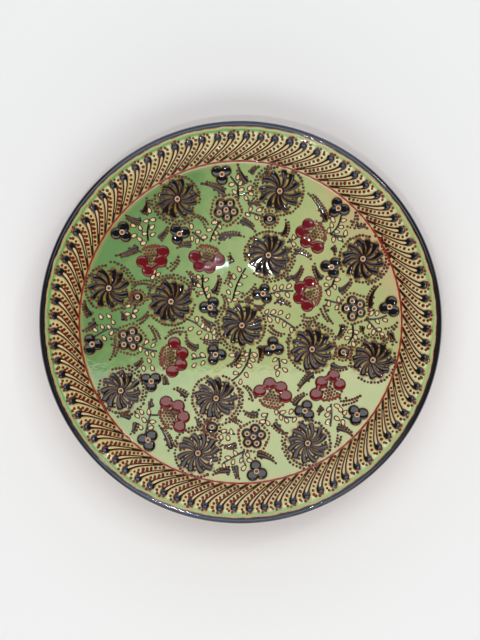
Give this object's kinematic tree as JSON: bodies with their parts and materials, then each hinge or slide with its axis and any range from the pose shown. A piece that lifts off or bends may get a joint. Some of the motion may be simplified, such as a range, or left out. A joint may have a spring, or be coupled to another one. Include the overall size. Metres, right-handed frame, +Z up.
{
  "type": "hand painted ceramic plate",
  "caption": "Round footed earthenware dish with a sloping border and rounded lip, painted in raised slip with swirling daisies, berries, carnations and a fringe of drops under a glossy glaze",
  "frame": {"origin": "on the table under the middle of the foot ring", "axes": "+Z up through the middle of the dish; +X to the right and +Y away from the viewer as the painted pattern is seen from above"},
  "size_m": [0.3, 0.3, 0.0434],
  "materials": {
    "fired_clay": "bare fired red earthenware, matte, with turning marks",
    "green_glaze": "pale slip under a clear glaze stained green in pools, high gloss",
    "black_glaze": "black slip under clear glaze, high gloss",
    "black_slip": "raised black slip under clear glaze, brown at its edges, high gloss",
    "red_slip": "raised dark red slip under clear glaze, high gloss"
  },
  "bodies": {
    "root": {"clay_body": "fired_clay", "pale_coat": "green_glaze", "lip_band": "black_glaze", "drop_fringe_1": "black_slip", "drop_fringe_2": "black_slip", "drop_fringe_3": "black_slip", "drop_fringe_4": "black_slip", "daisy_middle": "black_slip", "daisy_inner_1": "black_slip", "daisy_inner_2": "black_slip", "daisy_inner_3": "black_slip", "daisy_inner_4": "black_slip", "daisy_outer_1": "black_slip", "daisy_outer_2": "black_slip", "daisy_outer_3": "black_slip", "daisy_outer_4": "black_slip", "daisy_outer_5": "black_slip", "daisy_outer_6": "black_slip", "daisy_outer_7": "black_slip", "daisy_outer_8": "black_slip", "trefoil_edge_1": "black_slip", "trefoil_edge_2": "black_slip", "trefoil_edge_3": "black_slip", "trefoil_edge_4": "black_slip", "trefoil_rim_1": "black_slip", "trefoil_rim_2": "black_slip", "trefoil_rim_3": "black_slip", "trefoil_rim_4": "black_slip", "trefoil_mid_1": "black_slip", "trefoil_mid_2": "black_slip", "trefoil_mid_3": "black_slip", "trefoil_mid_4": "black_slip", "trefoil_heart_1": "black_slip", "trefoil_heart_2": "black_slip", "trefoil_heart_3": "black_slip", "trefoil_heart_4": "black_slip", "berries_1": "black_slip", "berries_2": "black_slip", "berries_3": "black_slip", "berries_4": "black_slip", "bud_1": "black_slip", "bud_2": "black_slip", "bud_3": "black_slip", "bud_4": "black_slip", "carnation_outer_1": "red_slip", "carnation_outer_2": "red_slip", "carnation_outer_3": "red_slip", "carnation_outer_4": "red_slip", "carnation_inner_1": "red_slip", "carnation_inner_2": "red_slip", "carnation_inner_3": "red_slip", "carnation_inner_4": "red_slip"}
  },
  "joints": []
}
